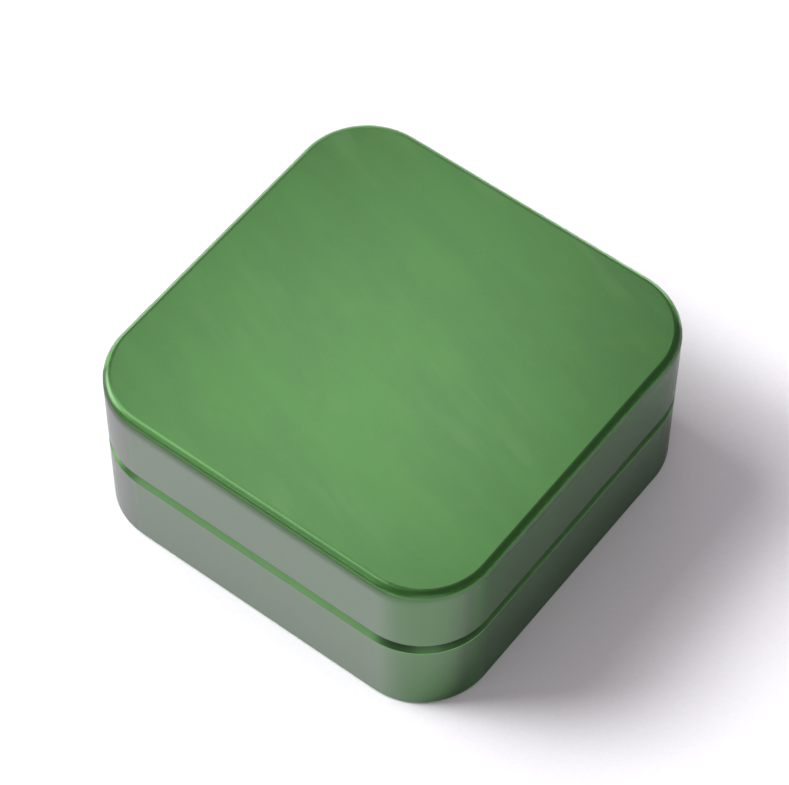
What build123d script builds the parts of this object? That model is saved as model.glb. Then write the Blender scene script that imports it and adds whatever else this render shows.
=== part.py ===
from build123d import *
import os

# Pocket case for one cube of billiard chalk, in millimetres.
#
# Two milled aluminium halves meet on a flat joint and are held shut by four pairs of disc magnets.
# The chalk stands in a foam insert in the lower half and reaches up into the upper half.
# Origin: centre of the underside. +Z is up, the walls lie square to X and Y, and -Y is the front.

# Case
CASE_WIDTH = 60.0
CASE_HEIGHT = 27.0
SPLIT_HEIGHT = 13.9
CORNER_RADIUS = 10.5
RIM_RADIUS = 1.2
SEAM_CHAMFER = 1.0
FOOT_CHAMFER = 0.5
EDGE_BREAK = 0.15
FLOOR = 1.6
ROOF = 1.6

# Pocket milled into both halves, and the lip that centres the lid
POCKET_WIDTH = 42.0
POCKET_RADIUS = 6.0
LIP_THICKNESS = 1.2
LIP_HEIGHT = 1.0
LIP_CLEARANCE = 0.15
LIP_LEAD_IN = 0.3

# Disc magnets, glued into blind bores in the mating faces
MAGNET_RADIUS = 3.0
MAGNET_THICKNESS = 2.0
MAGNET_BEVEL = 0.15
MAGNET_SINK = 0.1
MAGNET_BORE_CLEARANCE = 0.05
MAGNET_BORE_BREAK = 0.2
MAGNET_OFFSET = 23.2

# Chalk, its paper label and the adhesive pad under it
CHALK_WIDTH = 22.2
CHALK_HEIGHT = 22.2
CHALK_EDGE_RADIUS = 0.6
DISH_RADIUS = 9.4
DISH_DEPTH = 2.2
LABEL_THICKNESS = 0.1
LABEL_HEIGHT = 18.0
ADHESIVE_WIDTH = 20.0
ADHESIVE_THICKNESS = 0.5

# Foam parts
INSERT_BELOW_SEAM = 0.4
INSERT_CLEARANCE = 0.05
WELL_CLEARANCE = 0.05
WELL_RADIUS = 0.5
LINER_THICKNESS = 0.6
LINER_CLEARANCE = 0.3

# Corner name, and the side of the case that it is on along X and Y
CORNERS = {
    "front_left": (-1, -1),
    "front_right": (1, -1),
    "back_left": (-1, 1),
    "back_right": (1, 1),
}

# Worked out from the dimensions above
LABEL_BOTTOM = FLOOR + ADHESIVE_THICKNESS
CHALK_BOTTOM = LABEL_BOTTOM + LABEL_THICKNESS
LABEL_WIDTH = CHALK_WIDTH + 2 * LABEL_THICKNESS
WELL_WIDTH = LABEL_WIDTH + 2 * WELL_CLEARANCE
REBATE_MARGIN = LIP_THICKNESS + LIP_CLEARANCE
MAGNET_BORE_RADIUS = MAGNET_RADIUS + MAGNET_BORE_CLEARANCE
MAGNET_BORE_DEPTH = MAGNET_THICKNESS + MAGNET_SINK
DISH_SPHERE_RADIUS = (DISH_RADIUS**2 + DISH_DEPTH**2) / (2 * DISH_DEPTH)
MAGNET_PLACES = {name: (x * MAGNET_OFFSET, y * MAGNET_OFFSET) for name, (x, y) in CORNERS.items()}


def rounded_square(width, radius, mode=Mode.ADD):
    """A centred square with round corners, in the sketch that is being built."""
    RectangleRounded(width, width, radius, mode=mode)


def wall_edges(builder, height):
    """The edges of the outer wall at this height, or a chamfer's width in from it."""
    reach = CASE_WIDTH / 2 - CORNER_RADIUS
    level = builder.edges().filter_by_position(Axis.Z, height, height)
    return level.filter_by(lambda edge: max(abs(edge.center().X), abs(edge.center().Y)) > reach)


def bore_rims(builder):
    """The edges where the magnet bores open onto the mating face."""
    level = builder.edges().filter_by(GeomType.CIRCLE).filter_by_position(Axis.Z, SPLIT_HEIGHT, SPLIT_HEIGHT)
    return level.filter_by(lambda edge: abs(edge.radius - MAGNET_BORE_RADIUS) < MAGNET_BORE_CLEARANCE)


def save(builder, node):
    """Labels a finished part and writes it as one STEP file."""
    builder.part.label = node
    export_step(builder.part, f"parts/{node}.step")


os.makedirs("parts", exist_ok=True)

# Lower half: a milled block with a pocket, a raised lip round it and four magnet bores
with BuildPart() as base_shell:
    with BuildSketch():
        rounded_square(CASE_WIDTH, CORNER_RADIUS)
    extrude(amount=SPLIT_HEIGHT)
    chamfer(wall_edges(base_shell, 0), FOOT_CHAMFER)
    chamfer(wall_edges(base_shell, SPLIT_HEIGHT), SEAM_CHAMFER)
    fillet(wall_edges(base_shell, SPLIT_HEIGHT), EDGE_BREAK)
    fillet(wall_edges(base_shell, SPLIT_HEIGHT - SEAM_CHAMFER), EDGE_BREAK)
    with BuildSketch(Plane.XY.offset(SPLIT_HEIGHT)):
        rounded_square(POCKET_WIDTH + 2 * LIP_THICKNESS, POCKET_RADIUS + LIP_THICKNESS)
    extrude(amount=LIP_HEIGHT)
    chamfer(base_shell.faces().sort_by(Axis.Z)[-1].edges(), LIP_LEAD_IN)
    with BuildSketch(Plane.XY.offset(FLOOR)):
        rounded_square(POCKET_WIDTH, POCKET_RADIUS)
    extrude(amount=CASE_HEIGHT, mode=Mode.SUBTRACT)
    with Locations(*[(x, y, SPLIT_HEIGHT) for x, y in MAGNET_PLACES.values()]):
        Hole(MAGNET_BORE_RADIUS, MAGNET_BORE_DEPTH)
    chamfer(bore_rims(base_shell), MAGNET_BORE_BREAK)
save(base_shell, "base_shell")

# Upper half: its pocket has a rebate at the mouth that takes the lip
with BuildPart() as lid_shell:
    with BuildSketch(Plane.XY.offset(SPLIT_HEIGHT)):
        rounded_square(CASE_WIDTH, CORNER_RADIUS)
    extrude(amount=CASE_HEIGHT - SPLIT_HEIGHT)
    fillet(wall_edges(lid_shell, CASE_HEIGHT), RIM_RADIUS)
    chamfer(wall_edges(lid_shell, SPLIT_HEIGHT), SEAM_CHAMFER)
    fillet(wall_edges(lid_shell, SPLIT_HEIGHT), EDGE_BREAK)
    fillet(wall_edges(lid_shell, SPLIT_HEIGHT + SEAM_CHAMFER), EDGE_BREAK)
    with BuildSketch(Plane.XY.offset(SPLIT_HEIGHT)):
        rounded_square(POCKET_WIDTH, POCKET_RADIUS)
    extrude(amount=CASE_HEIGHT - ROOF - SPLIT_HEIGHT, mode=Mode.SUBTRACT)
    with BuildSketch(Plane.XY.offset(SPLIT_HEIGHT)):
        rounded_square(POCKET_WIDTH + 2 * REBATE_MARGIN, POCKET_RADIUS + REBATE_MARGIN)
    extrude(amount=LIP_HEIGHT + LIP_CLEARANCE, mode=Mode.SUBTRACT)
    with Locations(*[Location((x, y, SPLIT_HEIGHT), (180, 0, 0)) for x, y in MAGNET_PLACES.values()]):
        Hole(MAGNET_BORE_RADIUS, MAGNET_BORE_DEPTH)
    chamfer(bore_rims(lid_shell), MAGNET_BORE_BREAK)
save(lid_shell, "lid_shell")

# Magnets: one in each corner of each half, just below the mating face
for half, bottom in (("base", SPLIT_HEIGHT - MAGNET_BORE_DEPTH), ("lid", SPLIT_HEIGHT + MAGNET_SINK)):
    for corner, place in MAGNET_PLACES.items():
        with BuildPart(Plane.XY.offset(bottom)) as magnet:
            with Locations(place):
                Cylinder(MAGNET_RADIUS, MAGNET_THICKNESS, align=(Align.CENTER, Align.CENTER, Align.MIN))
            chamfer(magnet.edges().filter_by(GeomType.CIRCLE), MAGNET_BEVEL)
        save(magnet, f"{half}_magnet_{corner}")

# Foam block that grips the chalk, with a square well right through it
with BuildPart() as chalk_insert:
    with BuildSketch(Plane.XY.offset(FLOOR)):
        rounded_square(POCKET_WIDTH - 2 * INSERT_CLEARANCE, POCKET_RADIUS - INSERT_CLEARANCE)
        rounded_square(WELL_WIDTH, WELL_RADIUS, mode=Mode.SUBTRACT)
    extrude(amount=SPLIT_HEIGHT - INSERT_BELOW_SEAM - FLOOR)
save(chalk_insert, "chalk_insert")

# Thin foam liner under the roof of the lid
with BuildPart() as lid_liner:
    with BuildSketch(Plane.XY.offset(CASE_HEIGHT - ROOF - LINER_THICKNESS)):
        rounded_square(POCKET_WIDTH - 2 * LINER_CLEARANCE, POCKET_RADIUS - LINER_CLEARANCE)
    extrude(amount=LINER_THICKNESS)
save(lid_liner, "lid_liner")

# Double-sided pad that sticks the chalk to the floor
with BuildPart() as adhesive_pad:
    with BuildSketch(Plane.XY.offset(FLOOR)):
        Rectangle(ADHESIVE_WIDTH, ADHESIVE_WIDTH)
    extrude(amount=ADHESIVE_THICKNESS)
save(adhesive_pad, "adhesive_pad")

# Chalk: a pressed cube with a dished top
with BuildPart() as chalk_block:
    with BuildSketch(Plane.XY.offset(CHALK_BOTTOM)):
        rounded_square(CHALK_WIDTH, CHALK_EDGE_RADIUS)
    extrude(amount=CHALK_HEIGHT)
    with Locations((0, 0, CHALK_BOTTOM + CHALK_HEIGHT - DISH_DEPTH + DISH_SPHERE_RADIUS)):
        Sphere(DISH_SPHERE_RADIUS, mode=Mode.SUBTRACT)
save(chalk_block, "chalk_block")

# Paper label: wrapped round the four sides and folded under the chalk
with BuildPart() as chalk_label:
    with BuildSketch(Plane.XY.offset(LABEL_BOTTOM)):
        rounded_square(LABEL_WIDTH, CHALK_EDGE_RADIUS + LABEL_THICKNESS)
    extrude(amount=LABEL_THICKNESS + LABEL_HEIGHT)
    with BuildSketch(Plane.XY.offset(CHALK_BOTTOM)):
        rounded_square(CHALK_WIDTH, CHALK_EDGE_RADIUS)
    extrude(amount=LABEL_HEIGHT, mode=Mode.SUBTRACT)
save(chalk_label, "chalk_label")
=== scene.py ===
import math

import bmesh
import bpy
from mathutils import Matrix, Vector, noise


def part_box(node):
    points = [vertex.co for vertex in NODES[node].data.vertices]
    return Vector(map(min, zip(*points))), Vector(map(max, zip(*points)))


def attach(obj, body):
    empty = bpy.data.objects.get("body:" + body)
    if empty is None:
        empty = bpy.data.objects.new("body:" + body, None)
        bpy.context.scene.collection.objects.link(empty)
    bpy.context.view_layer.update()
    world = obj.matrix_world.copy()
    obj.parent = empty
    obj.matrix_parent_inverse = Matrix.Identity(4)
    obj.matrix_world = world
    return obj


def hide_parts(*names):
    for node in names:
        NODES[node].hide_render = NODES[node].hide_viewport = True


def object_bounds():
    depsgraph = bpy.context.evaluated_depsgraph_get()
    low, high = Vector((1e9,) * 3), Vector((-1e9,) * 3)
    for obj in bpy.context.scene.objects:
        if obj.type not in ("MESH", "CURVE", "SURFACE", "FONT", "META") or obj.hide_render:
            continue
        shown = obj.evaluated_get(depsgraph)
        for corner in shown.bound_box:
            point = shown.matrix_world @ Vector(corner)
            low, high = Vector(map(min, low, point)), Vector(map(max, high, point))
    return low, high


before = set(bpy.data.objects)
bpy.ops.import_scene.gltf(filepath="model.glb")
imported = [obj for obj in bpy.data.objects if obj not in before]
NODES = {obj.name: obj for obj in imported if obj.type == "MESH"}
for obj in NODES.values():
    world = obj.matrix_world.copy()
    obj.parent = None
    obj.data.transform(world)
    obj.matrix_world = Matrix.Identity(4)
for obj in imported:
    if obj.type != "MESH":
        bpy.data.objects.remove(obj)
CAD_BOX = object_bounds()

# Everything is in metres. Z is up, and -Y is the front, as in the CAD.
MM = 0.001

# Camera: a long lens that looks down over the front left wall and the right wall
CAMERA_AZIMUTH = 36.964
CAMERA_ELEVATION = 55.470
CAMERA_ROLL = 0.536
CAMERA_DISTANCE = 450.44 * MM
CAMERA_RIGHT = 0.13 * MM
CAMERA_UP = 1.83 * MM
CAMERA_LENS = 153.89
CAMERA_NEAREST = 10 * MM
CAMERA_FARTHEST = 20.0

# Case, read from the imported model
CASE_LOW, CASE_HIGH = CAD_BOX
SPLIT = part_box("lid_shell")[0].z
POCKET_REACH = 21.5 * MM

# Chalk and its label
CHALK_LOW, CHALK_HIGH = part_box("chalk_block")
LABEL_LOW, LABEL_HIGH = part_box("chalk_label")
PAPER = LABEL_HIGH.x - CHALK_HIGH.x

# Room: its colour, and the sines of the elevations between which the pale band at the horizon fades out
ROOM_COLOR = (0.115, 0.105, 0.115, 1)
BAND_COLOR = (0.98, 0.98, 0.98, 1)
BAND_FADE = (0.075, 0.13)
FLOOR_REACH = 3.0

# Wide lights a long way off: azimuth, elevation, spread in degrees, strength, colour, mirrored in the metal
FAR_LIGHTS = {
    "key_high": (288, 48, 36, 2.3, (0.97, 0.97, 1.0), False),
    "key_low": (300, 42, 22, 1.7, (0.97, 0.97, 1.0), False),
    "fill": (0, 90, 170, 1.10, (1.0, 0.91, 1.0), False),
    "room": (0, 90, 172, 0.33, (1.0, 0.96, 1.0), True),
}

# Round softboxes, only for the metal to mirror: azimuth, elevation, distance, size across, radiance
SOFTBOXES = {
    "back_box_1": (220, 65, 0.25, 0.10, 0.43),
    "back_box_2": (219, 55, 0.35, 0.10, 0.38),
    "back_box_3": (205, 55, 0.25, 0.10, 0.32),
    "back_box_4": (235, 65, 0.25, 0.10, 0.34),
    "back_box_5": (248, 55, 0.35, 0.10, 0.31),
    "back_low_box": (220, 16, 1.5, 1.0, 0.75),
    "side_box_high": (280, 64, 1.5, 0.7, 1.6),
    "side_box_mid": (310, 46, 1.5, 0.9, 0.6),
    "side_box_left": (288, 24, 1.5, 1.05, 2.8),
    "side_box_front": (338, 27, 1.5, 0.35, 2.2),
    "rim_box_left": (250, 10, 1.5, 0.5, 2.6),
    "rim_box_right": (190, 10, 1.5, 0.5, 2.6),
    "front_box": (45, 13, 2.0, 1.4, 0.60),
}


# ---------------------------------------------------------------- shared helpers

def direction(azimuth, elevation):
    """The way out from the middle; azimuth 0 is over the front, -Y, and 90 over the right, +X."""
    a, e = math.radians(azimuth), math.radians(elevation)
    return Vector((math.sin(a) * math.cos(e), -math.cos(a) * math.cos(e), math.sin(e)))


def link(name, data):
    """A new object with this data, in the scene."""
    made = bpy.data.objects.new(name, data)
    bpy.context.scene.collection.objects.link(made)
    return made


def bake(piece):
    """Turns a piece's modifiers into plain mesh."""
    evaluated = piece.evaluated_get(bpy.context.evaluated_depsgraph_get())
    mesh = bpy.data.meshes.new_from_object(evaluated)
    piece.modifiers.clear()
    old = piece.data
    piece.data = mesh
    bpy.data.meshes.remove(old)


def shade_smooth(piece):
    for face in piece.data.polygons:
        face.use_smooth = True


def smoothstep(low, high, value):
    t = min(max((value - low) / (high - low), 0.0), 1.0)
    return t * t * (3 - 2 * t)


# ---------------------------------------------------------------- camera, floor and light

def make_camera():
    back = direction(CAMERA_AZIMUTH, CAMERA_ELEVATION)
    turn = back.to_track_quat("Z", "Y").to_matrix() @ Matrix.Rotation(math.radians(CAMERA_ROLL), 3, "Z")
    right, up, _ = turn.col
    data = bpy.data.cameras.new("camera")
    data.lens = CAMERA_LENS
    data.clip_start = CAMERA_NEAREST
    data.clip_end = CAMERA_FARTHEST
    camera = link("camera", data)
    middle = (CASE_LOW + CASE_HIGH) / 2
    place = middle + back * CAMERA_DISTANCE + right * CAMERA_RIGHT + up * CAMERA_UP
    camera.matrix_world = Matrix.Translation(place) @ turn.to_4x4()
    bpy.context.scene.camera = camera


def aim(light, azimuth, elevation):
    """Turns a light so that it shines from this direction."""
    light.rotation_mode = "QUATERNION"
    light.rotation_quaternion = direction(azimuth, elevation).to_track_quat("Z", "Y")


def far_light(name, azimuth, elevation, spread, strength, color, mirrored):
    """A wide soft light a long way off, which lights the matt surfaces or is only mirrored in the metal."""
    data = bpy.data.lights.new(name, "SUN")
    data.angle = math.radians(spread)
    data.energy = strength
    data.color = color
    light = link(name, data)
    aim(light, azimuth, elevation)
    light.visible_glossy = mirrored
    light.visible_diffuse = not mirrored


def softbox(name, azimuth, elevation, distance, size, radiance):
    """A round softbox that faces the case, for the metal to mirror."""
    data = bpy.data.lights.new(name, "AREA")
    data.shape = "DISK"
    data.size = size
    data.energy = radiance * math.pi * math.pi * (size / 2) ** 2
    light = link(name, data)
    light.location = direction(azimuth, elevation) * distance
    aim(light, azimuth, elevation)
    light.visible_diffuse = False


def make_world():
    """A dim lilac room over a pale band at the horizon, where the studio's wall stands."""
    world = bpy.data.worlds.new("studio")
    world.use_nodes = True
    bpy.context.scene.world = world
    tree = world.node_tree
    place = tree.nodes.new("ShaderNodeTexCoord")
    split = tree.nodes.new("ShaderNodeSeparateXYZ")
    band = tree.nodes.new("ShaderNodeMapRange")
    color = tree.nodes.new("ShaderNodeMix")
    band.interpolation_type = "SMOOTHSTEP"
    band.inputs["From Min"].default_value, band.inputs["From Max"].default_value = BAND_FADE
    color.data_type = "RGBA"
    color.inputs[6].default_value = BAND_COLOR
    color.inputs[7].default_value = ROOM_COLOR
    tree.links.new(place.outputs["Generated"], split.inputs[0])
    tree.links.new(split.outputs["Z"], band.inputs["Value"])
    tree.links.new(band.outputs[0], color.inputs[0])
    tree.links.new(color.outputs[2], tree.nodes["Background"].inputs["Color"])
    world.cycles_visibility.glossy = False


def make_floor():
    mesh = bpy.data.meshes.new("floor")
    corners = [(x * FLOOR_REACH, y * FLOOR_REACH, 0) for x, y in ((-1, -1), (1, -1), (1, 1), (-1, 1))]
    mesh.from_pydata(corners, [], [(0, 1, 2, 3)])
    mesh.materials.append(floor_paper())
    link("floor", mesh)


# ---------------------------------------------------------------- node trees

class Nodes:
    """A short way to write a material's nodes. Lengths in it are in metres."""

    def __init__(self, name):
        self.material = bpy.data.materials.new(name)
        self.material.use_nodes = True
        self.tree = self.material.node_tree
        self.shader = self.tree.nodes["Principled BSDF"]
        self.place = self.add("ShaderNodeTexCoord").outputs["Object"]

    def add(self, kind, inputs=None, **settings):
        """A node of this kind; each input is a value or another node's output."""
        node = self.tree.nodes.new(kind)
        for key, value in settings.items():
            setattr(node, key, value)
        for key, value in (inputs or {}).items():
            self.join(node.inputs[key], value)
        return node

    def join(self, socket, value):
        if isinstance(value, bpy.types.NodeSocket):
            self.tree.links.new(value, socket)
        else:
            socket.default_value = value

    def principled(self, **inputs):
        """Sets the shader's sockets, with underscores for the spaces in their names."""
        for key, value in inputs.items():
            self.join(self.shader.inputs[key.replace("_", " ")], value)

    def math(self, operation, a, b=0.0):
        node = self.add("ShaderNodeMath", operation=operation)
        self.join(node.inputs[0], a)
        self.join(node.inputs[1], b)
        return node.outputs[0]

    def times(self, first, *others):
        for other in others:
            first = self.math("MULTIPLY", first, other)
        return first

    def plus(self, a, b):
        return self.math("ADD", a, b)

    def minus(self, a, b):
        return self.math("SUBTRACT", a, b)

    def most(self, first, *others):
        for other in others:
            first = self.math("MAXIMUM", first, other)
        return first

    def size(self, value):
        """The value without its sign."""
        return self.math("ABSOLUTE", value)

    def ramp(self, value, low, high, start=0.0, end=1.0):
        """Goes smoothly from start to end as the value goes from low to high."""
        limits = {"Value": value, "From Min": low, "From Max": high, "To Min": start, "To Max": end}
        return self.add("ShaderNodeMapRange", limits, interpolation_type="SMOOTHSTEP").outputs[0]

    def fade(self, value, low, high):
        """Goes smoothly from 1 to 0 as the value goes from low to high."""
        return self.ramp(value, low, high, 1.0, 0.0)

    def noise(self, size, detail=2.0, rough=0.5):
        """Even noise from 0 to 1, with features about this size."""
        return self.texture(self.place, 1 / size, detail, rough)

    def drawn_noise(self, sizes, turn, detail, rough):
        """Noise whose features have this size along each axis, after a turn about Z by so many degrees."""
        turned = self.add("ShaderNodeMapping", {"Vector": self.place, "Rotation": (0, 0, math.radians(turn))})
        scale = tuple(1 / size for size in sizes)
        scaled = self.add("ShaderNodeVectorMath", {0: turned.outputs[0], 1: scale}, operation="MULTIPLY")
        return self.texture(scaled.outputs[0], 1.0, detail, rough)

    def texture(self, vector, scale, detail, rough):
        inputs = {"Vector": vector, "Scale": scale, "Detail": detail, "Roughness": rough}
        return self.add("ShaderNodeTexNoise", inputs, normalize=True).outputs["Fac"]

    def cells(self, size, feature="F1"):
        inputs = {"Vector": self.place, "Scale": 1 / size}
        return self.add("ShaderNodeTexVoronoi", inputs, feature=feature).outputs["Distance"]

    def mix(self, amount, a, b):
        """A colour between a and b."""
        node = self.add("ShaderNodeMix", data_type="RGBA")
        for socket, value in zip((node.inputs[0], node.inputs[6], node.inputs[7]), (amount, a, b)):
            self.join(socket, value)
        return node.outputs[2]

    def bump(self, height, distance, strength=1.0, normal=None):
        inputs = {"Height": height, "Distance": distance, "Strength": strength}
        if normal is not None:
            inputs["Normal"] = normal
        return self.add("ShaderNodeBump", inputs).outputs[0]

    def axes(self):
        """X, Y and Z of the place."""
        return self.add("ShaderNodeSeparateXYZ", {0: self.place}).outputs


# ---------------------------------------------------------------- materials

# Green anodising, on the flats
ANODISED_GREEN = (0.042, 0.330, 0.003, 1)
ANODISED_DEEP = (0.032, 0.282, 0.001, 1)
STREAK_GREEN = (0.090, 0.390, 0.045, 1)
BLOTCH_GREEN = (0.085, 0.350, 0.012, 1)
GRAIN_GREEN = (0.066, 0.370, 0.018, 1)
STREAK_TURN = -72
CLOUD_SIZES = (6 * MM, 24 * MM, 24 * MM)
STREAK_SIZES = (2.4 * MM, 13 * MM, 13 * MM)
STREAK_PATCH = 22 * MM
BLOTCH_SIZE = 3.2 * MM
GRAIN_SIZE = 0.22 * MM

# Green anodising where it is seen at a slant; painted light: a brighter green on the right walls and a paler
# highlight on the back and left rim; painted shade round the rim and in the seam
SLANT_GREEN = (0.040, 0.160, 0.004, 1)
RIGHT_SIDE_PAINTED_GREEN = (0.050, 0.300, 0.008, 1)
RIM_PAINTED_HIGHLIGHT = (0.115, 0.43, 0.065, 1)
# painted shade: the darker green under the rim and in the seam groove
PAINTED_SHADE_GREEN = (0.010, 0.080, 0.004, 1)

# Where each change starts and where it is complete: X to the right, and depths below the top
RIGHT_SIDE = (20 * MM, 28 * MM)
GROOVE_RIGHT = (14 * MM, 26 * MM)
RIM_START = (0.02 * MM, 0.20 * MM)
RIM_END = (1.0 * MM, 1.6 * MM)
SHADE_START = (0.20 * MM, 0.60 * MM)
SHADE_END = (1.1 * MM, 1.8 * MM)
# where the painted shade of the weakened seal under the rim ends, on the left and on the right
SEAL_SHADE_END_LEFT = (1.2 * MM, 3.0 * MM)
SEAL_SHADE_END_RIGHT = (0.8 * MM, 1.3 * MM)
GROOVE_REACH = (0.2 * MM, 1.0 * MM)

# The way out from the rim that gets the painted highlight, toward the back left corner
HIGHLIGHT_WAY = (-0.602, 0.799, 0.0)
HIGHLIGHT_TILT = (0.0, 0.08)
FLAT_TILT = (0.90, 0.995)

# Pocket walls: the lines that the end mill left, this far apart and deep
MILL_STEP = 0.75 * MM
MILL_LINE = 0.12 * MM
MILL_DEPTH = 0.01 * MM
BLAST_DEPTH = 0.012 * MM


def anodised():
    """Bead-blasted aluminium, dyed green in the anodising bath and sealed."""
    n = Nodes("green_anodised")
    x, y, z = n.axes()
    below = n.minus(CASE_HIGH.z, z)
    right = n.ramp(x, *RIGHT_SIDE)
    left = n.minus(1.0, right)
    slant = n.add("ShaderNodeLayerWeight", {"Blend": 0.5}).outputs["Facing"]
    out = n.add("ShaderNodeNewGeometry").outputs["Normal"]
    flat = n.ramp(n.add("ShaderNodeSeparateXYZ", {0: out}).outputs["Z"], *FLAT_TILT)
    back_left = n.add("ShaderNodeVectorMath", {0: out, 1: HIGHLIGHT_WAY}, operation="DOT_PRODUCT").outputs["Value"]
    rim = n.times(n.ramp(below, *RIM_START), n.fade(below, *RIM_END))
    wear_and_highlight = n.times(n.ramp(back_left, *HIGHLIGHT_TILT), n.fade(below, *RIM_END))
    outside_rim_highlight = n.minus(1.0, wear_and_highlight)

    # clouds, streaks, blotches and blasted grain
    cloud = n.drawn_noise(CLOUD_SIZES, STREAK_TURN, 4, 0.6)
    streaks = n.drawn_noise(STREAK_SIZES, STREAK_TURN, 1.5, 0.45)
    streaks = n.times(n.ramp(streaks, 0.46, 0.76), n.ramp(n.noise(STREAK_PATCH, 1, 0.5), 0.42, 0.6))
    blotch = n.noise(BLOTCH_SIZE, 4, 0.6)
    grain = n.noise(GRAIN_SIZE, 3, 0.6)
    color = n.mix(n.ramp(cloud, 0.36, 0.64), ANODISED_DEEP, ANODISED_GREEN)
    color = n.mix(n.times(streaks, 0.85), color, STREAK_GREEN)
    color = n.mix(n.ramp(blotch, 0.50, 0.72, 0.0, 0.35), color, BLOTCH_GREEN)
    color = n.mix(n.ramp(grain, 0.35, 0.65, 0.0, 0.35), color, GRAIN_GREEN)
    rough = n.plus(n.ramp(grain, 0.3, 0.7, 0.30, 0.34), n.times(streaks, 0.05))
    rough = n.plus(rough, n.times(rim, 0.16))

    # painted highlight: the rim at the back and at the left is painted a paler green, and is left out of the
    # slant deepening and the painted shade
    color = n.mix(wear_and_highlight, color, RIM_PAINTED_HIGHLIGHT)

    # seen at a slant, light goes a longer way through the dye: the green is deeper, but less so on the flats
    deepen = n.times(n.ramp(slant, 0.20, 0.44), outside_rim_highlight, n.ramp(flat, 0.0, 1.0, 1.0, 0.4))
    color = n.mix(deepen, color, SLANT_GREEN)
    # painted light: at a steep slant on the right side the green is painted brighter, for the greenish light
    # on that wall
    color = n.mix(n.times(n.ramp(slant, 0.58, 0.66), right), color, RIGHT_SIDE_PAINTED_GREEN)

    # painted shade: the green is darkened just under the rim and in the groove of the seam, more on the right
    # side
    shade_start = n.ramp(below, *SHADE_START)
    rim_shade = n.times(shade_start, n.fade(below, *SHADE_END), n.ramp(right, 0.0, 1.0, 0.30, 0.60), outside_rim_highlight)
    groove_shade = n.fade(n.size(n.minus(z, SPLIT)), *GROOVE_REACH)
    groove_shade = n.times(groove_shade, n.ramp(n.ramp(x, *GROOVE_RIGHT), 0.0, 1.0, 0.35, 0.85))
    color = n.mix(n.most(rim_shade, groove_shade), color, PAINTED_SHADE_GREEN)

    # the clear seal shows more at a slant, and it is thinner on the flats; painted shade: it is weakened just
    # under the rim, on the right walls and toward the foot, so that its reflection is darker there
    foot_shade = n.ramp(z, 0.0, SPLIT, 0.75, 1.0)
    right_coat = n.times(n.ramp(slant, 0.50, 0.66, 0.58, 0.68), foot_shade, right)
    left_coat = n.times(n.ramp(slant, 0.46, 0.58, 0.60, 1.0), left)
    coat = n.plus(n.plus(right_coat, left_coat), n.ramp(slant, 0.22, 0.40, 0.14, 0.0))
    seal_shade_left = n.times(shade_start, n.fade(below, *SEAL_SHADE_END_LEFT), left)
    seal_shade_right = n.times(shade_start, n.fade(below, *SEAL_SHADE_END_RIGHT), right)
    seal_shade = n.times(n.plus(seal_shade_left, seal_shade_right), outside_rim_highlight, 0.45)
    thin_flat = n.times(flat, n.ramp(slant, 0.30, 0.60, 0.0, 0.62))
    coat = n.times(coat, n.minus(1.0, seal_shade), n.ramp(z, 0.0, SPLIT, 0.96, 1.0), n.minus(1.0, thin_flat))

    # step-down lines that the end mill left on the pocket walls
    inside = n.math("LESS_THAN", n.most(n.size(x), n.size(y)), POCKET_REACH)
    lines = n.times(n.ramp(n.math("PINGPONG", z, MILL_STEP), 0.0, MILL_LINE), inside)
    normal = n.bump(lines, MILL_DEPTH, 0.5)
    normal = n.bump(grain, BLAST_DEPTH, 0.35, normal)
    n.principled(
        Base_Color=color,
        Metallic=1.0,
        Roughness=rough,
        Normal=normal,
        Specular_Tint=(0.0, 0.0, 0.0, 1),
        Coat_Weight=coat,
        Coat_Roughness=0.30,
        Coat_IOR=2.5,
    )
    return n.material


NICKEL_DULL = (0.56, 0.54, 0.50, 1)
NICKEL_BRIGHT = (0.66, 0.64, 0.60, 1)
SCRATCH_SIZES = (0.06 * MM, 2.5 * MM, 2.5 * MM)
SCRATCH_TURN = 28
SCRATCH_DEPTH = 0.004 * MM


def nickel():
    """Bright nickel plating with fine scratches."""
    n = Nodes("nickel_plating")
    scratches = n.drawn_noise(SCRATCH_SIZES, SCRATCH_TURN, 2, 0.6)
    wear = n.noise(1.6 * MM, 3, 0.6)
    color = n.mix(n.ramp(wear, 0.35, 0.7), NICKEL_DULL, NICKEL_BRIGHT)
    rough = n.plus(n.ramp(wear, 0.3, 0.7, 0.14, 0.24), n.ramp(scratches, 0.6, 0.8, 0.0, 0.10))
    normal = n.bump(scratches, SCRATCH_DEPTH, 0.3)
    n.principled(Base_Color=color, Metallic=1.0, Roughness=rough, Normal=normal)
    return n.material


FOAM_BLACK = (0.018, 0.018, 0.020, 1)
FOAM_GREY = (0.030, 0.030, 0.032, 1)
FOAM_SKIN = (0.055, 0.055, 0.058, 1)
DUST_ON_FOAM = (0.10, 0.28, 0.52, 1)
DUST_REACH = (11.0 * MM, 17.0 * MM)
SKIN_CELL = 0.28 * MM
PORE_SIZE = 0.55 * MM


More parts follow.
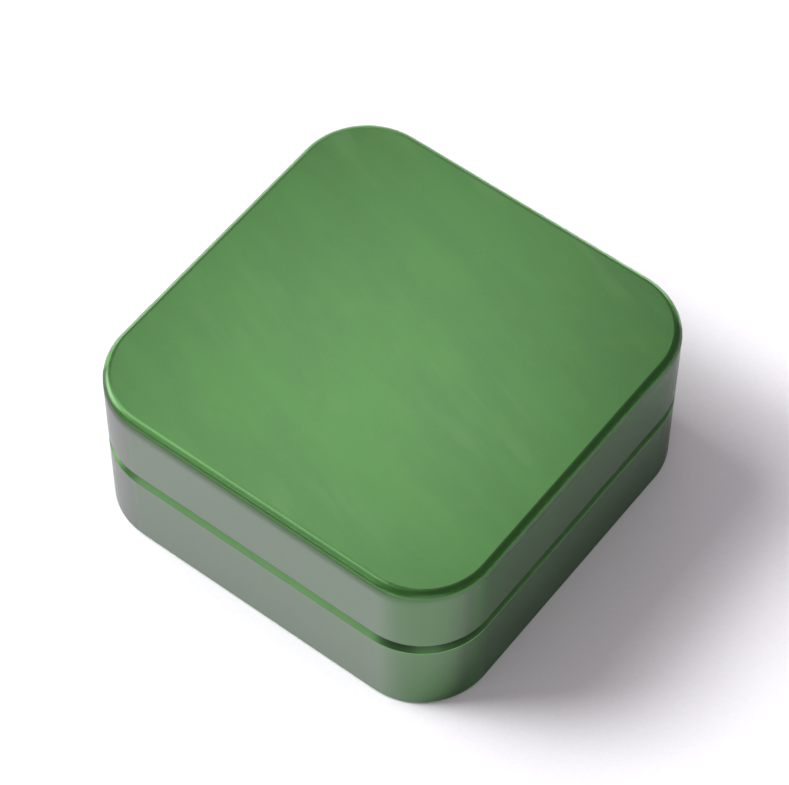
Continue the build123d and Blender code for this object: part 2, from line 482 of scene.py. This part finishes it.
def foam():
    """Black closed-cell foam, with a little blue chalk dust near the chalk."""
    n = Nodes("black_foam")
    x, y, z = n.axes()
    skin = n.cells(SKIN_CELL)
    pores = n.cells(PORE_SIZE, "SMOOTH_F1")
    tone = n.noise(6 * MM, 3, 0.6)
    near = n.ramp(n.most(n.size(x), n.size(y)), *DUST_REACH, 1.0, 0.12)
    specks = n.ramp(n.noise(0.35 * MM, 4, 0.7), 0.60, 0.72)
    film = n.ramp(n.noise(4 * MM, 4, 0.65), 0.42, 0.75)
    dust = n.times(near, n.most(n.times(specks, 0.5), n.times(film, 0.22)))
    color = n.mix(n.ramp(tone, 0.3, 0.7), FOAM_BLACK, FOAM_GREY)
    color = n.mix(n.ramp(skin, 0.0, 0.5, 0.35, 0.0), color, FOAM_SKIN)
    color = n.mix(dust, color, DUST_ON_FOAM)
    rough = n.plus(n.ramp(tone, 0.3, 0.7, 0.74, 0.86), n.times(dust, 0.1))
    normal = n.bump(skin, 0.05 * MM, 0.5)
    normal = n.bump(pores, 0.06 * MM, 0.4, normal)
    n.principled(Base_Color=color, Roughness=rough, Normal=normal, Sheen_Weight=0.15, Sheen_Roughness=0.6)
    return n.material


TAPE_GREY = (0.70, 0.70, 0.66, 1)
TAPE_WHITE = (0.80, 0.80, 0.77, 1)


def foam_tape():
    """White foam of the double-sided pad."""
    n = Nodes("white_foam_tape")
    pores = n.cells(0.12 * MM)
    tone = n.noise(3 * MM, 3, 0.6)
    color = n.mix(n.ramp(tone, 0.3, 0.7), TAPE_GREY, TAPE_WHITE)
    rough = n.ramp(pores, 0.0, 0.6, 0.55, 0.75)
    n.principled(Base_Color=color, Roughness=rough, Normal=n.bump(pores, 0.02 * MM, 0.5))
    return n.material


CHALK_BLUE = (0.055, 0.225, 0.52, 1)
CHALK_DEEP = (0.045, 0.195, 0.47, 1)
CHALK_RUBBED = (0.16, 0.38, 0.68, 1)
CHALK_GRIT = (0.30, 0.50, 0.76, 1)
CHALK_PIT_SHADE = (0.02, 0.10, 0.28, 1)


def chalk():
    """Dry pressed chalk: even in colour, with paler rubbed places and painted shade in its pits."""
    n = Nodes("blue_chalk")
    tone = n.noise(5 * MM, 4, 0.6)
    grit = n.noise(0.25 * MM, 4, 0.7)
    pits = n.cells(0.7 * MM)
    rubbed = n.noise(1.6 * MM, 4, 0.65)
    color = n.mix(n.ramp(tone, 0.3, 0.7), CHALK_DEEP, CHALK_BLUE)
    color = n.mix(n.ramp(rubbed, 0.45, 0.75, 0.0, 0.55), color, CHALK_RUBBED)
    color = n.mix(n.ramp(grit, 0.62, 0.78, 0.0, 0.6), color, CHALK_GRIT)
    # painted shade: the sunken pits are darkened
    color = n.mix(n.ramp(pits, 0.0, 0.16, 0.6, 0.0), color, CHALK_PIT_SHADE)
    normal = n.bump(grit, 0.05 * MM, 0.8)
    normal = n.bump(pits, 0.05 * MM, 0.3, normal)
    n.principled(
        Base_Color=color,
        Roughness=n.ramp(grit, 0.3, 0.7, 0.86, 0.97),
        Normal=normal,
        Sheen_Weight=0.25,
        Sheen_Roughness=0.7,
        Specular_IOR_Level=0.2,
    )
    return n.material


PAPER_CREAM = (0.76, 0.72, 0.61, 1)
PAPER_AGED = (0.70, 0.66, 0.55, 1)
PAPER_SCUFFED = (0.74, 0.71, 0.64, 1)
DUST_ON_PAPER = (0.16, 0.36, 0.62, 1)
INK = (0.030, 0.070, 0.160, 1)
FIBRE_SIZES = (0.5 * MM, 0.5 * MM, 0.12 * MM)

# Print on the label: depths below its upper edge, and widths of the lines
DIAMOND_ROW = 3.1 * MM
DIAMOND_STEP = 2.4 * MM
DIAMOND_EDGE = (0.72 * MM, 0.80 * MM)
LINES = ((1.3 * MM, 0.35 * MM), (4.9 * MM, 0.35 * MM), (9.6 * MM, 5.0 * MM))
INK_SPREAD = 0.03 * MM


def label_paper():
    """Cream paper printed with a plain band, two rules and a row of diamonds."""
    n = Nodes("label_paper")
    x, y, z = n.axes()
    up = n.minus(z, LABEL_LOW.z)
    height = (LABEL_HIGH - LABEL_LOW).z

    above = n.size(n.minus(up, height - DIAMOND_ROW))
    diamond = n.plus(n.math("PINGPONG", n.plus(x, y), DIAMOND_STEP / 2), above)
    ink = n.fade(diamond, *DIAMOND_EDGE)
    for depth, width in LINES:
        off = n.size(n.minus(up, height - depth))
        ink = n.most(ink, n.fade(off, width / 2 - INK_SPREAD, width / 2 + INK_SPREAD))

    fibres = n.drawn_noise(FIBRE_SIZES, 0, 3, 0.65)
    edge = n.ramp(up, height - 0.9 * MM, height)
    scuff = n.times(n.ramp(n.noise(0.5 * MM, 4, 0.75), 0.50, 0.68), n.plus(0.12, n.times(edge, 0.7)))
    dust = n.ramp(n.noise(2.2 * MM, 4, 0.7), 0.40, 0.70)
    dust = n.times(dust, n.ramp(up, height - 4 * MM, height, 0.08, 0.5))
    paper = n.mix(n.ramp(fibres, 0.3, 0.7), PAPER_CREAM, PAPER_AGED)
    color = n.mix(ink, paper, INK)
    color = n.mix(scuff, color, PAPER_SCUFFED)
    color = n.mix(dust, color, DUST_ON_PAPER)
    rough = n.plus(n.ramp(fibres, 0.3, 0.7, 0.52, 0.66), n.times(scuff, 0.2))
    n.principled(Base_Color=color, Roughness=rough, Normal=n.bump(fibres, 0.012 * MM, 0.5))
    return n.material


FLOOR_PALE = (0.84, 0.84, 0.84, 1)
FLOOR_WHITE = (0.86, 0.86, 0.86, 1)


def floor_paper():
    """The pale sheet that the case stands on."""
    n = Nodes("floor_paper")
    fibres = n.noise(0.6 * MM, 3, 0.6)
    color = n.mix(n.ramp(fibres, 0.3, 0.7), FLOOR_PALE, FLOOR_WHITE)
    n.principled(Base_Color=color, Roughness=0.9, Specular_IOR_Level=0.0)
    return n.material


# ---------------------------------------------------------------- shapes

# Steps round a corner and along a side of a rounded square
ARC_STEPS = 10
SIDE_STEPS = 28

# Foam insert, as cut
INSERT_CORNER = 5.95 * MM
INSERT_WELL_CORNER = 0.5 * MM
INSERT_WELL_GAP = 0.05 * MM
INSERT_EDGE = 0.7 * MM
INSERT_FOOT = 0.2 * MM
INSERT_DISH = 0.12 * MM
INSERT_DRAG = 0.30 * MM
INSERT_LUMPS = 0.08 * MM
INSERT_LUMP_SIZE = 4 * MM
INSERT_LUMP_ZONE = (1.2 * MM, 0.2 * MM)

# How far out the loops across the face of a pad lie, as shares of its half width
PAD_SHARES = (0.04, 0.12, 0.22, 0.34, 0.46, 0.58, 0.7, 0.82, 0.92)
LINER_CORNER = 5.7 * MM
LINER_EDGE = 0.22 * MM
TAPE_CORNER = 0.4 * MM
TAPE_EDGE = 0.12 * MM

# Chalk: how rough, chipped and worn it is
CHALK_GRID = 0.28 * MM
CHALK_SKIN = 0.06 * MM
CHALK_ROUGH = ((0.9 * MM, 0.06 * MM), (0.4 * MM, 0.05 * MM))
UNDER_LABEL = 0.15
CHIP_SIZE = 1.7 * MM
CHIP_SHIFT = Vector((4.1, 7.3, 1.9))
CHIP_LEAST = 0.16
CHIP_DEPTH = 1.3 * MM
CHIP_ACROSS = 2.2 * MM
CHIP_DOWN = 1.6 * MM
DISH_MIDDLE = (1.1 * MM, -0.8 * MM)
DISH_WEAR = 0.45 * MM
DISH_REACH = (9.0 * MM, 2.0 * MM)
DISH_ZONE = (4 * MM, 2 * MM)
SWIRL_SIZE = 2.6 * MM
SWIRL_DEPTH = 0.14 * MM

# Label: its fold under the chalk, and where its glued overlap lies
LABEL_CORNER = 0.65 * MM
FOLD_SHARES = (0.35, 0.6, 0.8, 0.93)
LABEL_ROWS = 26
LAP_START = ARC_STEPS + SIDE_STEPS + 9
LAP_STEPS = 12
EDGE_WEAR = 0.16 * MM
EDGE_FRAY = 0.06 * MM
EDGE_LIFT = 0.05 * MM
EDGE_ZONE = 1.5 * MM
CREASE = 0.012 * MM


def rounded_square(half, radius, height):
    """Points round a square with round corners, anticlockwise, as many for any size."""
    points = []
    middle = half - radius
    for corner in range(4):
        turn = Matrix.Rotation(math.radians(90 * corner), 3, "Z")
        for step in range(SIDE_STEPS):
            points.append(turn @ Vector((half, middle * (2 * step / SIDE_STEPS - 1), height)))
        for step in range(ARC_STEPS):
            angle = math.pi / 2 * step / ARC_STEPS
            reach = Vector((math.cos(angle), math.sin(angle), 0)) * radius
            points.append(turn @ (Vector((middle, middle, height)) + reach))
    return points


def loft(name, loops, closed=False):
    """A skin over loops of points: closed joins the last loop to the first, else both ends are capped."""
    mesh = bpy.data.meshes.new(name)
    build = bmesh.new()
    rows = [[build.verts.new(point) for point in loop] for loop in loops]
    count = len(rows[0])
    pairs = list(zip(rows, rows[1:])) + ([(rows[-1], rows[0])] if closed else [])
    for lower, upper in pairs:
        for i in range(count):
            j = (i + 1) % count
            build.faces.new((lower[i], lower[j], upper[j], upper[i]))
    if not closed:
        build.faces.new(rows[0][::-1])
        build.faces.new(rows[-1])
    bmesh.ops.recalc_face_normals(build, faces=build.faces[:])
    build.to_mesh(mesh)
    build.free()
    piece = link(name, mesh)
    shade_smooth(piece)
    return piece


def rounded_steps(radius, count=5):
    """How far in and how far short of full height a rounded edge is, from its side to its top."""
    for step in range(count + 1):
        angle = math.pi / 2 * step / count
        yield radius * (1 - math.cos(angle)), radius * (1 - math.sin(angle))


def reshape(piece, move):
    """Moves every point of a piece to where move(point, normal) says."""
    vertices = piece.data.vertices
    moved = [move(v.co.copy(), v.normal.copy()) for v in vertices]
    vertices.foreach_set("co", [value for point in moved for value in point])
    piece.data.update()


def make_chalk_insert():
    """Knife-cut foam ring: sides dished a little by the cut, top a little lumpy, well edge dragged down."""
    low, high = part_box("chalk_insert")
    outer, inner = high.x, LABEL_HIGH.x + INSERT_WELL_GAP
    height = high.z - low.z
    loops = []
    for inset, short in reversed(list(rounded_steps(INSERT_FOOT, 2))):
        loops.append(rounded_square(outer - inset, INSERT_CORNER - inset, low.z + short))
    for step in range(1, 8):
        share = step / 8
        pull = INSERT_DISH * math.sin(math.pi * share)
        loops.append(rounded_square(outer - pull, INSERT_CORNER - pull, low.z + height * share))
    for inset, short in rounded_steps(INSERT_EDGE):
        loops.append(rounded_square(outer - inset, INSERT_CORNER - inset, high.z - short))
    span = outer - inner - 2 * INSERT_EDGE
    for step in range(1, 16):
        share = step / 16
        half = outer - INSERT_EDGE - span * share
        radius = (INSERT_CORNER - INSERT_EDGE) * (1 - share) + (INSERT_WELL_CORNER + INSERT_EDGE) * share
        drag = INSERT_DRAG * smoothstep(0.72, 1.0, share)
        loops.append(rounded_square(half, radius, high.z - drag))
    for inset, short in reversed(list(rounded_steps(INSERT_EDGE))):
        loops.append(rounded_square(inner + inset, INSERT_WELL_CORNER + inset, high.z - INSERT_DRAG - short))
    for step in range(7, 0, -1):
        share = step / 8
        pull = INSERT_DISH * math.sin(math.pi * share) * 0.5
        place = low.z + (height - INSERT_EDGE) * share
        loops.append(rounded_square(inner + pull, INSERT_WELL_CORNER + pull, place))
    for inset, short in rounded_steps(INSERT_FOOT, 2):
        loops.append(rounded_square(inner + inset, INSERT_WELL_CORNER + inset, low.z + short))
    piece = loft("foam_insert", loops, closed=True)

    def uneven(p, normal):
        share = smoothstep(high.z - INSERT_LUMP_ZONE[0], high.z - INSERT_LUMP_ZONE[1], p.z)
        return p + normal * (noise.noise(p / INSERT_LUMP_SIZE) * INSERT_LUMPS * share)

    reshape(piece, uneven)
    return piece


def make_pad(name, node, radius, edge):
    """A thin pad in place of a CAD node: flat above and below, its edges round."""
    low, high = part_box(node)
    half = high.x
    loops = []
    for share in PAD_SHARES:
        loops.append(rounded_square(half * share, radius * share, high.z))
    for inset, short in reversed(list(rounded_steps(edge, 4))):
        loops.append(rounded_square(half - inset, radius - inset, high.z - short))
    for inset, short in rounded_steps(edge, 4):
        loops.append(rounded_square(half - inset, radius - inset, low.z + short))
    for share in reversed(PAD_SHARES):
        loops.append(rounded_square(half * share, radius * share, low.z))
    return loft(name, loops)


def make_chalk():
    """The chalk as pressed and a little used: rough faces, chipped upper edges, a worn dish."""
    piece = link("chalk_cube", NODES["chalk_block"].data.copy())
    build = bmesh.new()
    build.from_mesh(piece.data)
    bmesh.ops.remove_doubles(build, verts=build.verts[:], dist=0.001 * MM)
    build.to_mesh(piece.data)
    build.free()
    modifier = piece.modifiers.new("grid", "REMESH")
    modifier.mode = "VOXEL"
    modifier.voxel_size = CHALK_GRID
    bake(piece)
    piece.data.name = "chalk_cube"
    half = CHALK_HIGH.x

    def pressed(p, normal):
        bare = smoothstep(LABEL_HIGH.z - 0.3 * MM, LABEL_HIGH.z + 0.4 * MM, p.z)
        rough = sum(noise.noise(p / size) * depth for size, depth in CHALK_ROUGH)
        side = half - max(abs(p.x), abs(p.y))
        rim = smoothstep(CHIP_ACROSS, 0.0, side) * smoothstep(CHALK_HIGH.z - CHIP_DOWN, CHALK_HIGH.z, p.z)
        chip = max(noise.noise(p / CHIP_SIZE + CHIP_SHIFT) - CHIP_LEAST, 0.0) * CHIP_DEPTH * rim
        radius = math.hypot(p.x - DISH_MIDDLE[0], p.y - DISH_MIDDLE[1])
        near_top = smoothstep(CHALK_HIGH.z - DISH_ZONE[0], CHALK_HIGH.z - DISH_ZONE[1], p.z)
        wear_and_highlight = DISH_WEAR * smoothstep(*DISH_REACH, radius) * near_top
        swirl = noise.noise(Vector((p.x, p.y, 0)) / SWIRL_SIZE) * SWIRL_DEPTH
        inward = (CHALK_SKIN - rough) * (UNDER_LABEL + (1 - UNDER_LABEL) * bare) + chip
        return p - normal * inward - Vector((0, 0, (wear_and_highlight + abs(swirl)) * max(normal.z, 0.0) * bare))

    reshape(piece, pressed)
    shade_smooth(piece)
    return piece


def fold_spot(point, share, low):
    """A place on the flap that is folded under the chalk, this share of the way out."""
    return Vector((point.x * share, point.y * share, low - 0.02 * MM * (1 - share)))


def wall_spot(point, outward, height):
    """A place on the upright part of the label: creased, and worn along its upper edge."""
    wear_and_highlight = noise.noise(Vector((point.x, point.y, 0)) / (1.3 * MM)) * EDGE_WEAR
    wear_and_highlight += noise.noise(Vector((point.x, point.y, 5 * MM)) / (0.5 * MM)) * EDGE_FRAY
    top = smoothstep(LABEL_HIGH.z - EDGE_ZONE, LABEL_HIGH.z, height)
    crease = noise.noise(Vector((point.x, point.y, height * 0.5)) / (2.4 * MM)) * CREASE
    lifted = EDGE_LIFT * top * max(noise.noise(point / (3 * MM)), 0)
    return Vector((point.x, point.y, height + (wear_and_highlight - EDGE_WEAR) * top)) + outward * (crease + lifted)


def make_label():
    """A paper strip wrapped once round the chalk with its end glued over its start, folded in below."""
    mesh = bpy.data.meshes.new("chalk_paper")
    build = bmesh.new()
    path = rounded_square(CHALK_HIGH.x + PAPER / 2, LABEL_CORNER, 0)
    count = len(path)
    total = count + LAP_STEPS
    low = LABEL_LOW.z + PAPER / 2
    heights = [low + (LABEL_HIGH.z - low) * (step / LABEL_ROWS) for step in range(LABEL_ROWS + 1)]
    columns = []
    for k in range(total):
        point = path[(LAP_START + k) % count]
        outward = Vector((point.x, point.y, 0)).normalized()
        lap = outward * PAPER * smoothstep(count - 1.5, count + 0.5, k)
        spots = [fold_spot(point, share, low) for share in FOLD_SHARES]
        spots += [wall_spot(point, outward, height) for height in heights]
        columns.append([spot + lap for spot in spots])
    rows = [[build.verts.new(column[i]) for column in columns] for i in range(len(columns[0]))]
    for lower, upper in zip(rows, rows[1:]):
        for k in range(total - 1):
            build.faces.new((lower[k], lower[k + 1], upper[k + 1], upper[k]))
    build.to_mesh(mesh)
    build.free()
    piece = link("chalk_paper", mesh)
    thick = piece.modifiers.new("thickness", "SOLIDIFY")
    thick.thickness = PAPER
    thick.offset = 0
    bake(piece)
    piece.data.name = "chalk_paper"
    shade_smooth(piece)
    return piece


# ---------------------------------------------------------------- scene

def stand_in(piece, node, material, body):
    """Shows the piece in place of a CAD node."""
    piece.data.materials.clear()
    piece.data.materials.append(material)
    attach(piece, body)
    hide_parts(node)


def dress(node, material):
    """Gives a CAD node its finish."""
    NODES[node].data.materials.clear()
    NODES[node].data.materials.append(material)


make_camera()
bpy.context.scene.view_settings.view_transform = "Standard"

make_world()
for name, settings in FAR_LIGHTS.items():
    far_light(name, *settings)
for name, settings in SOFTBOXES.items():
    softbox(name, *settings)
make_floor()

green = anodised()
dress("base_shell", green)
dress("lid_shell", green)
plated = nickel()
for node in NODES:
    if "magnet" in node:
        dress(node, plated)

black = foam()
insert = make_chalk_insert()
stand_in(insert, "chalk_insert", black, "base")
liner = make_pad("foam_liner", "lid_liner", LINER_CORNER, LINER_EDGE)
stand_in(liner, "lid_liner", black, "lid")
pad = make_pad("adhesive_foam_pad", "adhesive_pad", TAPE_CORNER, TAPE_EDGE)
stand_in(pad, "adhesive_pad", foam_tape(), "base")
stand_in(make_chalk(), "chalk_block", chalk(), "base")
stand_in(make_label(), "chalk_label", label_paper(), "base")
